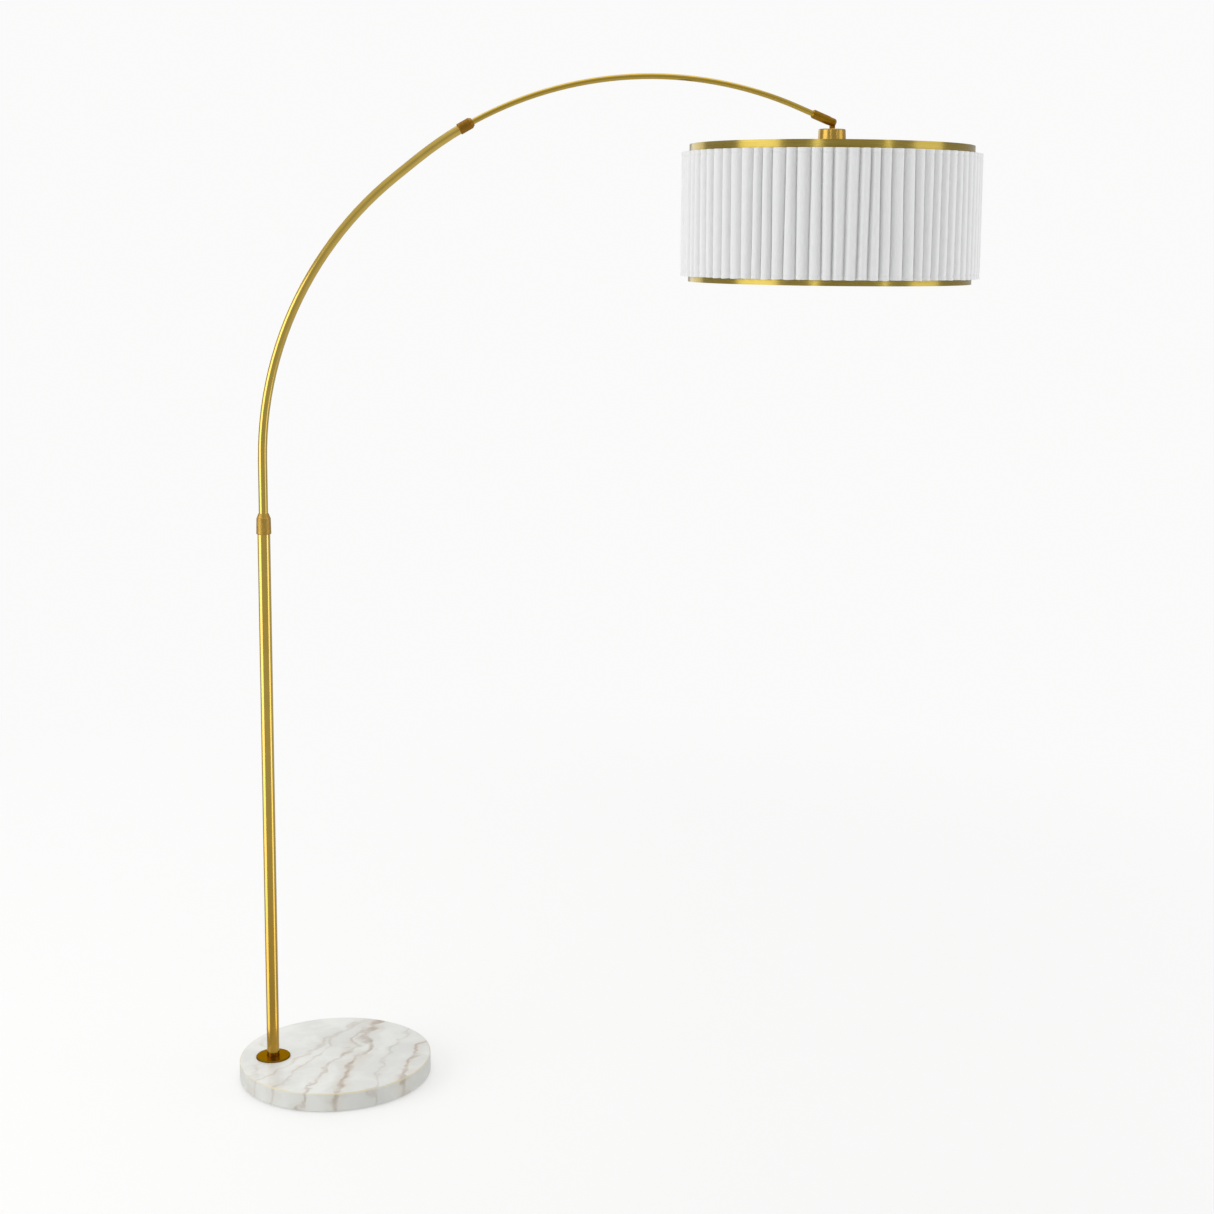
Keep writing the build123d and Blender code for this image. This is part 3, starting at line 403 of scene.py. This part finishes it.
def knurl(barrel_low, barrel_high, least_radius):
    """Diamond knurling that fades out at both ends of a nut's barrel."""

    def relief(radius, height, angle):
        if radius < least_radius or not barrel_low < height < barrel_high:
            return 0.0
        teeth = round(2.0 * math.pi * radius / KNURL_PITCH)
        lead = 2.0 * math.pi * height / KNURL_PITCH
        one_way = math.sin((teeth * angle + lead) / 2.0) ** 2
        other_way = math.sin((teeth * angle - lead) / 2.0) ** 2
        ridges = one_way * other_way
        fade = min(1.0, (height - barrel_low) / KNURL_PITCH, (barrel_high - height) / KNURL_PITCH)
        return -KNURL_DEPTH * (1.0 - ridges) * fade

    return relief


def post_nut(material):
    """The post's lock nut: a knurled barrel, a rounded shoulder and a short cone, hollow for the collet."""
    low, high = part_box("post_lock_nut")
    widest = (high.y - low.y) / 2
    height = high.z - low.z
    shoulder = height - 7.5 * MM
    outline = [
        (widest - 1.9 * MM, 0.0),
        (widest - 1.0 * MM, 0.0),
        (widest - 0.35 * MM, 0.5 * MM),
        (widest, 1.8 * MM),
        (widest - 0.1 * MM, 3.0 * MM),
        (widest - 0.6 * MM, shoulder - 1.6 * MM),
        (widest - 0.7 * MM, shoulder - 0.7 * MM),
        (widest - 1.3 * MM, shoulder),
        (widest - 3.9 * MM, height - 0.4 * MM),
        (widest - 4.3 * MM, height),
        (8.2 * MM, height),
        (8.2 * MM, height - 6.5 * MM),
        (10.4 * MM, height - 10.0 * MM),
        (11.1 * MM, 2.0 * MM),
    ]
    middle = Vector((low.x + high.x, low.y + high.y, 0.0)) / 2
    middle.z = low.z
    relief = knurl(3.4 * MM, shoulder - 2.0 * MM, widest - 1.1 * MM)
    rows = finely(outline, KNURL_ROW)
    nut = turned("post_nut_knurled", rows, 260, middle, (0, 0, 1), material, relief)
    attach(nut, "post_nut")
    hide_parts("post_lock_nut")


def arc_nut(material):
    """The arc's lock nut, the same in small, along the axis that its joint gives."""
    place = next(joint for joint in frame["joints"] if joint["name"] == "arc_nut_turn")
    half = 13.65 * MM
    widest = 9.9 * MM
    outline = [
        (8.3 * MM, -half),
        (widest - 0.9 * MM, -half),
        (widest - 0.35 * MM, -half + 0.4 * MM),
        (widest, -half + 1.3 * MM),
        (widest, half - 6.4 * MM),
        (widest - 0.1 * MM, half - 5.0 * MM),
        (widest - 0.6 * MM, half - 3.9 * MM),
        (widest - 2.9 * MM, half - 0.3 * MM),
        (widest - 3.2 * MM, half),
        (5.5 * MM, half),
        (5.5 * MM, half - 5.0 * MM),
        (8.0 * MM, half - 9.8 * MM),
        (8.3 * MM, -half + 6.0 * MM),
    ]
    relief = knurl(-half + 2.6 * MM, half - 6.6 * MM, widest - 0.3 * MM)
    rows = finely(outline, KNURL_ROW)
    nut = turned("arc_nut_knurled", rows, 200, place["pos_m"], place["axis"], material, relief)
    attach(nut, "arc_nut")
    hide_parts("arc_lock_nut")


PLEATS = 80
PLEAT_SAMPLES = 18
PLEAT_SQUARENESS = 2.8  # 1 is a plain zigzag, 2 is round, and more is flat in front
WIDTH_SPREAD = 0.13
DEPTH_SPREAD = 0.10
SKEW_SPREAD = 0.10
LEAN = 1.5 * MM
BOW = 0.5 * MM
DROOP = 1.0 * MM
LIFT = 0.9 * MM
CLOTH_THICKNESS = 0.5 * MM
HEM = 7.5 * MM
HEM_REACH = 2.2 * MM
HEM_PINCH = 0.09
VALLEY_CROWDING = 0.11
STITCHES = 9  # in each pleat
STITCH_MARGIN = 0.06  # of the pleat, at each side
STITCH_START, STITCH_END = 0.10, 0.78  # of the pitch from one stitch to the next
THREAD = 0.22 * MM  # half its thickness
THREAD_SHOULDER = 0.45  # from a stitch's end to its middle


def pleat_rows(low, high):
    """Heights of the cloth's rows: close together at both hems, and wide apart between."""
    edge = (0.0, 1.2, 4.0, 6.6, 7.5, 8.4, 12.0)  # mm from the cloth's edge
    between = 14
    rows = [low + e * MM for e in edge]
    first = rows[-1]
    last = high - edge[-1] * MM
    rows += [first + (last - first) * k / between for k in range(1, between)]
    rows += [high - e * MM for e in reversed(edge)]
    return rows


class Pleats:
    """The shape of the strip of cloth round the shade, in which no two pleats are quite alike."""

    def __init__(self, middle_x, low, high, inner, outer):
        self.middle_x = middle_x
        self.low, self.high = low, high
        self.inner, self.outer = inner, outer
        rng = random.Random(11)
        widths = [1.0 + rng.uniform(-WIDTH_SPREAD, WIDTH_SPREAD) for _ in range(PLEATS)]
        self.depths = [1.0 + rng.uniform(-DEPTH_SPREAD, 0.0) for _ in range(PLEATS)]
        self.leans = [rng.uniform(-1.0, 1.0) for _ in range(PLEATS)]
        self.bows = [rng.uniform(-1.0, 1.0) for _ in range(PLEATS)]
        self.skews = [rng.uniform(-SKEW_SPREAD, SKEW_SPREAD) for _ in range(PLEATS)]
        self.drops = [rng.uniform(0.0, 1.0) for _ in range(PLEATS)]
        total = sum(widths)
        self.starts = [2.0 * math.pi * sum(widths[:k]) / total for k in range(PLEATS)] + [2.0 * math.pi]

    def edge_angle(self, k, share):
        """Where the valley before pleat k stands, at a share of the height."""
        wrapped = k % PLEATS
        shift = self.leans[wrapped] * LEAN / self.outer * (share - 0.5) * 2.0
        shift += self.bows[wrapped] * BOW / self.outer * math.sin(math.pi * share * 2.0)
        return self.starts[k] + shift

    def point(self, k, t, z):
        """The point of pleat k at t across it, from 0 to 1, and at height z before it droops."""
        share = (z - self.low) / (self.high - self.low)
        start = self.edge_angle(k, share)
        end = self.edge_angle(k + 1, share)
        angle = start + (end - start) * t
        u = 2.0 * t - 1.0
        pinch = math.exp(-(((z - self.low - HEM) / HEM_REACH) ** 2))
        pinch += math.exp(-(((self.high - HEM - z) / HEM_REACH) ** 2))
        crest = (1.0 - abs(u) ** PLEAT_SQUARENESS) * (1.0 + self.skews[k] * u)
        depth = (self.outer - self.inner) * self.depths[k] * (1.0 - HEM_PINCH * pinch)
        radius = self.inner + depth * max(0.0, crest)
        droop = self.drops[k] * DROOP * (1.0 - u * u) * (1.0 - share)
        lift = LIFT * (1.0 - share)
        x = self.middle_x + radius * math.cos(angle)
        return Vector((x, radius * math.sin(angle), z + lift - droop))


def across_pleat(sample):
    """A sample's place across its pleat. Samples crowd at the valleys, where the cloth turns sharply."""
    t = sample / PLEAT_SAMPLES
    return t - VALLEY_CROWDING * math.sin(2.0 * math.pi * t)


def cloth_strip(pleats, material):
    """The strip as one sheet, given its thickness by a modifier, and its length when it is laid flat."""
    rows = pleat_rows(pleats.low, pleats.high)
    columns = PLEATS * PLEAT_SAMPLES
    points = []
    across = []
    upward = []
    for z in rows:
        so_far = 0.0
        before = None
        for column in range(columns):
            k, sample = divmod(column, PLEAT_SAMPLES)
            here = pleats.point(k, across_pleat(sample), z)
            if before is not None:
                so_far += (here - before).length
            before = here
            points.append(here)
            across.append(so_far)
            upward.append(z)
    faces = []
    for row in range(len(rows) - 1):
        a = row * columns
        b = a + columns
        for c in range(columns):
            d = (c + 1) % columns
            faces.append((a + c, a + d, b + d, b + c))
    strip = mesh_piece("pleated_cloth", points, faces, material)
    for name, values in (("cloth_across", across), ("cloth_up", upward)):
        stored = strip.data.attributes.new(name, "FLOAT", "POINT")
        stored.data.foreach_set("value", values)
    thick = strip.modifiers.new("thickness", "SOLIDIFY")
    thick.thickness = CLOTH_THICKNESS
    thick.offset = -1.0
    return strip, max(across)


def stitch_points(pleats, k, s, z):
    """One stitch as a thin spindle: its start, three rings of four points, and its end."""
    pitch = (1.0 - 2.0 * STITCH_MARGIN) / STITCHES
    t0 = STITCH_MARGIN + pitch * (s + STITCH_START)
    t1 = STITCH_MARGIN + pitch * (s + STITCH_END)
    start = pleats.point(k, t0, z)
    end = pleats.point(k, t1, z)
    outward = Vector(((start.x + end.x) / 2 - pleats.middle_x, (start.y + end.y) / 2, 0.0))
    up = Vector((0.0, 0.0, 1.0))
    out = (end - start).normalized().cross(up)
    if out.dot(outward) < 0.0:
        out = -out
    crown = pleats.point(k, (t0 + t1) / 2, z) + out * THREAD
    points = [start - out * THREAD]
    for centre in (start.lerp(crown, THREAD_SHOULDER), crown, end.lerp(crown, THREAD_SHOULDER)):
        points += [centre + way * THREAD for way in (out, up, -out, -up)]
    return points + [end - out * THREAD]


def hem_stitching(pleats, material):
    """A row of short stitches along each hem."""
    points = []
    faces = []
    for z in (pleats.low + HEM, pleats.high - HEM):
        for number in range(PLEATS * STITCHES):
            k, s = divmod(number, STITCHES)
            base = len(points)
            points += stitch_points(pleats, k, s, z)
            for j in range(4):
                n = (j + 1) % 4
                faces.append((base, base + 1 + n, base + 1 + j))
                for ring_start in (1, 5):
                    p = base + ring_start
                    faces.append((p + j, p + n, p + 4 + n, p + 4 + j))
                faces.append((base + 9 + j, base + 9 + n, base + 13))
    return mesh_piece("hem_stitching", points, faces, material)


def pleated_cloth(material, thread_material):
    """One long strip of cloth, pleated round the shade and stitched along both hems."""
    low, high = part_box("pleated_shade")
    middle = (low + high) / 2
    outer = (high.x - low.x) / 2 - 0.4 * MM
    inner = (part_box("top_ring")[1].x - middle.x) + 3.2 * MM
    pleats = Pleats(middle.x, low.z, high.z, inner, outer)
    cloth_piece, developed = cloth_strip(pleats, material)
    stitching = hem_stitching(pleats, thread_material)
    for piece in (cloth_piece, stitching):
        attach(piece, "shade")
    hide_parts("pleated_shade")


# ---- Dressing the CAD pieces ----------------------------------------------------------------------


def dress(material, *nodes):
    """Gives carried-over CAD pieces their finished material."""
    for name in nodes:
        piece = frame["nodes"][name]
        for old in piece.material_slots:
            old.material = material
        if not piece.material_slots:
            piece.data.materials.append(material)


base_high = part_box("marble_base")[1]
ring_low, ring_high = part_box("top_ring")
post_low, post_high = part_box("post_tube")
shade_x = (ring_low.x + ring_high.x) / 2
post_x = (post_low.x + post_high.x) / 2
shade_axis = (shade_x, 0.0, 0.0)
post_axis = (post_x, 0.0, 0.0)

BRASS = (0.76, 0.50, 0.125)
BRASS_BRIGHT = (0.82, 0.60, 0.22)
BRASS_WARM = (0.50, 0.315, 0.068)
BRASS_BROWN = (0.31, 0.158, 0.011)
BRASS_TUBE = (0.65, 0.452, 0.085)
BRASS_ROD_SHADED = (0.52, 0.345, 0.038)
BRASS_DARK = (0.32, 0.155, 0.018)
BRASS_FOOT = (0.20, 0.112, 0.008)

tube_brass = lacquered_tube("lacquered_brass_tube", BRASS_TUBE)
# painted shade: the arm's upper rod is the tube's lacquered brass painted darker and more olive
shaded_rod_brass = lacquered_tube("lacquered_brass_rod_shaded", BRASS_ROD_SHADED)
foot_brass = metal(
    "turned_brass_foot", BRASS_FOOT, 0.32, round_axis(post_axis), 1400.0,
    bump=0.3, worn=0.16, glance=(0.8, 0.55, 0.14),
)
knurled_brass = metal("knurled_brass", BRASS_WARM, 0.42, anywhere, 300.0, worn=0.14)
# painted shade: the arc's nut is the post nut's knurled brass painted darker
shaded_nut_brass = metal("shaded_knurled_brass", BRASS_DARK, 0.40, anywhere, 300.0, worn=0.14)
head_brass = metal("knuckle_brass", BRASS_BROWN, 0.30, anywhere, 240.0)
cup_brass = metal("turned_brass_cup", BRASS_WARM, 0.26, round_axis(shade_axis, 0.3), 900.0, bump=0.12)
ring_brass = brushed_ring()
inner_brass = metal("plain_brass", BRASS, 0.34, anywhere, 200.0)
contact_brass = metal("bright_brass", BRASS_BRIGHT, 0.18, anywhere, 260.0)
zinc = metal("zinc_plated_steel", (0.58, 0.59, 0.60), 0.30, anywhere, 220.0)
bulb_metal = metal("bulb_cap_metal", (0.62, 0.62, 0.60), 0.28, round_axis(shade_axis, 0.2), 700.0)

dress(marble(base_high.x, base_high.z), "marble_base")
dress(felt(), "base_pad")
dress(tube_brass, "post_tube", "lower_arc_tube")
dress(shaded_rod_brass, "upper_arc_rod")
dress(foot_brass, "escutcheon")
dress(head_brass, "ferrule", "swivel_tongue", "pivot_screws")
dress(cup_brass, "socket_cup")
dress(ring_brass, "top_ring", "bottom_ring")
dress(inner_brass, "post_collet", "rod_collet", "foot_plug", "stop_collar")
dress(contact_brass, "screw_shell", "centre_contact", "terminal_screws")
dress(zinc, "threaded_nipple", "base_nut", "base_spring_washer", "base_washer")
dress(zinc, "ferrule_grub_screw", "neck_nut")
dress(bulb_metal, "bulb_cap", "bulb_contact")
dress(
    plain("white_enamelled_wire", (0.84, 0.84, 0.82), 0.30, 60.0, Coat_Weight=0.3),
    "shade_spider", "upper_hoop", "lower_hoop",
)
dress(
    plain("natural_nylon", (0.80, 0.79, 0.74), 0.45, 80.0),
    "guide_sleeve", "rod_end_plug", "cord_gland", "terminal_block",
)
dress(
    plain("lead_cover", (0.80, 0.80, 0.78), 0.40, 120.0),
    "lead_stand", "lead_arc", "lead_rod", "lead_head",
)
dress(plain("glazed_porcelain", (0.86, 0.85, 0.80), 0.14, 40.0, bump=0.05), "lampholder_body")
dress(plain("black_moulding", (0.02, 0.02, 0.02), 0.38, 200.0, spread=0.3), "shade_ring")
dress(plain("shade_liner_sheet", (0.88, 0.88, 0.86), 0.55, 30.0, spread=0.04, bump=0.2), "shade_liner")
dress(
    plain("opal_glass", (0.92, 0.92, 0.90), 0.12, 20.0, spread=0.03, bump=0.02, Coat_Weight=0.5),
    "bulb_glass",
)

post_nut(knurled_brass)
arc_nut(shaded_nut_brass)
pleated_cloth(cloth(), plain("white_thread", (0.82, 0.82, 0.81), 0.8, 900.0, bump=0.4))


# ---- Studio -----------------------------------------------------------------------------------------

PALE = (0.96, 0.96, 0.957)
BACKDROP_RADIUS = 40.0
FLOOR_RADIUS = 20.0
FLOOR_COLOUR = (0.62, 0.62, 0.617)
FLOOR_GLOW = 0.36
FADE_FROM = 0.9
FADE_TO = 3.0
LEVEL_LIGHT = 0.48
STEEP_LIGHT = 0.74


def glowing(name, colour):
    """A material that only gives off light."""
    material = bpy.data.materials.new(name)
    material.use_nodes = True
    nodes = material.node_tree.nodes
    nodes.clear()
    glow = nodes.new("ShaderNodeEmission")
    glow.inputs["Color"].default_value = (*colour, 1.0)
    glow.inputs["Strength"].default_value = 1.0
    out = nodes.new("ShaderNodeOutputMaterial")
    material.node_tree.links.new(glow.outputs[0], out.inputs["Surface"])
    return material


def backdrop():
    """A pale dome that only the camera sees."""
    bpy.ops.mesh.primitive_uv_sphere_add(segments=48, ring_count=24, radius=BACKDROP_RADIUS)
    dome = bpy.context.active_object
    dome.name = "backdrop"
    dome.data.materials.append(glowing("backdrop_pale", PALE))
    dome.visible_diffuse = False
    dome.visible_glossy = False
    dome.visible_transmission = False
    dome.visible_shadow = False


def floor():
    """A pale matt floor that melts into the backdrop away from the lamp. The metal doesn't mirror it."""
    bpy.ops.mesh.primitive_circle_add(vertices=96, radius=FLOOR_RADIUS, fill_type="NGON")
    ground = bpy.context.active_object
    ground.name = "floor"
    ground.location.z = -0.2 * MM
    material = bpy.data.materials.new("floor_pale")
    material.use_nodes = True
    nodes = material.node_tree.nodes
    links = material.node_tree.links
    shader = nodes["Principled BSDF"]
    shader.inputs["Base Color"].default_value = (*FLOOR_COLOUR, 1.0)
    shader.inputs["Emission Color"].default_value = (1.0, 1.0, 0.995, 1.0)
    shader.inputs["Emission Strength"].default_value = FLOOR_GLOW
    shader.inputs["Roughness"].default_value = 0.9
    shader.inputs["Specular IOR Level"].default_value = 0.0
    glow = nodes.new("ShaderNodeEmission")
    glow.inputs["Color"].default_value = (*PALE, 1.0)
    place = nodes.new("ShaderNodeTexCoord")
    away = nodes.new("ShaderNodeVectorMath")
    away.operation = "LENGTH"
    fade = nodes.new("ShaderNodeMapRange")
    fade.interpolation_type = "SMOOTHSTEP"
    fade.inputs["From Min"].default_value = FADE_FROM
    fade.inputs["From Max"].default_value = FADE_TO
    both = nodes.new("ShaderNodeMixShader")
    links.new(place.outputs["Object"], away.inputs[0])
    links.new(away.outputs["Value"], fade.inputs["Value"])
    links.new(fade.outputs[0], both.inputs[0])
    links.new(shader.outputs[0], both.inputs[1])
    links.new(glow.outputs[0], both.inputs[2])
    links.new(both.outputs[0], nodes["Material Output"].inputs["Surface"])
    ground.data.materials.append(material)
    ground.visible_glossy = False


def softbox(name, place, target, width, height, power, only=(), skip=()):
    """A rectangular lamp that the camera doesn't see. It lights all pieces, only some, or all but some."""
    lamp = bpy.data.lights.new(name, "AREA")
    lamp.shape = "RECTANGLE"
    lamp.size = width
    lamp.size_y = height
    lamp.energy = power
    holder = bpy.data.objects.new(name, lamp)
    scene.collection.objects.link(holder)
    holder.location = place
    holder.rotation_euler = (Vector(target) - Vector(place)).to_track_quat("-Z", "Y").to_euler()
    holder.visible_camera = False
    if only or skip:
        linked = bpy.data.collections.new(name + "_receivers")
        for piece in only or skip:
            linked.objects.link(frame["nodes"].get(piece) or bpy.data.objects[piece])
        for part in linked.collection_objects:
            part.light_linking.link_state = "INCLUDE" if only else "EXCLUDE"
        holder.light_linking.receiver_collection = linked


def world():
    """Even light from all round, brighter overhead and, in the metal, underneath."""
    room = bpy.data.worlds.new("studio")
    scene.world = room
    room.use_nodes = True
    nodes = room.node_tree.nodes
    links = room.node_tree.links
    background = nodes["Background"]
    place = nodes.new("ShaderNodeTexCoord")
    parts = nodes.new("ShaderNodeSeparateXYZ")
    links.new(place.outputs["Generated"], parts.inputs[0])
    ramp = nodes.new("ShaderNodeMapRange")
    ramp.interpolation_type = "SMOOTHSTEP"
    ramp.inputs["From Min"].default_value = 0.0
    ramp.inputs["From Max"].default_value = 0.8
    ramp.inputs["To Min"].default_value = LEVEL_LIGHT
    ramp.inputs["To Max"].default_value = STEEP_LIGHT
    steepness = nodes.new("ShaderNodeMath")
    steepness.operation = "ABSOLUTE"
    links.new(parts.outputs["Z"], steepness.inputs[0])
    links.new(steepness.outputs[0], ramp.inputs["Value"])
    links.new(ramp.outputs[0], background.inputs["Strength"])
    background.inputs["Color"].default_value = (1.0, 1.0, 1.0, 1.0)


backdrop()
floor()
world()
cloth_only = ("pleated_cloth",)
post_only = ("post_tube",)
rings_only = ("top_ring", "bottom_ring", "socket_cup")
lit_apart = cloth_only + post_only
aim = (0.35, 0.0, 1.0)
ring_aim = (shade_x, 0.0, 1.6)
cloth_aim = (shade_x, 0.0, 1.55)
post_aim = (post_x, 0.0, 0.64)
softbox("left_softbox", (-3.0, -1.35, 1.5), aim, 2.7, 2.7, 45.0, skip=lit_apart)
softbox("right_softbox", (3.5, -1.1, 1.3), aim, 1.45, 2.5, 13.5, skip=lit_apart)
softbox("top_softbox", (0.4, 0.6, 4.2), aim, 3.0, 3.0, 26.0)
softbox("back_softbox", (-1.2, 3.4, 1.8), aim, 2.2, 2.2, 15.0)
softbox("ring_strip_left", (shade_x - 1.09, -2.58, 1.6), ring_aim, 0.20, 1.6, 3.0, rings_only)
softbox("ring_strip_right", (shade_x + 1.44, -2.40, 1.6), ring_aim, 0.16, 1.6, 2.2, rings_only)
# the cloth's lights stand far off, so that it is lit alike wherever the arm swings
softbox("cloth_key_left", (shade_x - 10.0, -2.3, 2.2), cloth_aim, 5.0, 4.1, 295.0, cloth_only)
softbox("cloth_key_right", (shade_x + 10.0, -2.3, 2.2), cloth_aim, 5.0, 4.1, 270.0, cloth_only)
softbox("post_strip_left", (post_x - 0.135, -0.036, 0.64), post_aim, 0.122, 1.22, 0.86, post_only)
softbox("post_strip_right", (post_x + 0.132, -0.048, 0.64), post_aim, 0.060, 1.22, 0.36, post_only)

CAMERA_PLACE = Vector((0.1242, -3.5, 1.5168))
CAMERA_TARGET = Vector((0.5663, 0.0, 1.0083))
CAMERA_LEAN = math.radians(0.55)
CAMERA_LENS = 59.16
CAMERA_SHIFT = (-0.035, -0.07)
eye = bpy.data.objects.new("camera", bpy.data.cameras.new("camera"))
scene.collection.objects.link(eye)
eye.data.sensor_width = 36.0
eye.data.lens = CAMERA_LENS
eye.data.shift_x, eye.data.shift_y = CAMERA_SHIFT
eye.data.dof.use_dof = False
eye.data.clip_end = 200.0
turn = (CAMERA_TARGET - CAMERA_PLACE).to_track_quat("-Z", "Y").to_matrix().to_4x4()
eye.matrix_world = Matrix.Translation(CAMERA_PLACE) @ turn @ Matrix.Rotation(CAMERA_LEAN, 4, "Z")
scene.camera = eye
scene.view_settings.view_transform = "Standard"
scene.view_settings.look = "None"
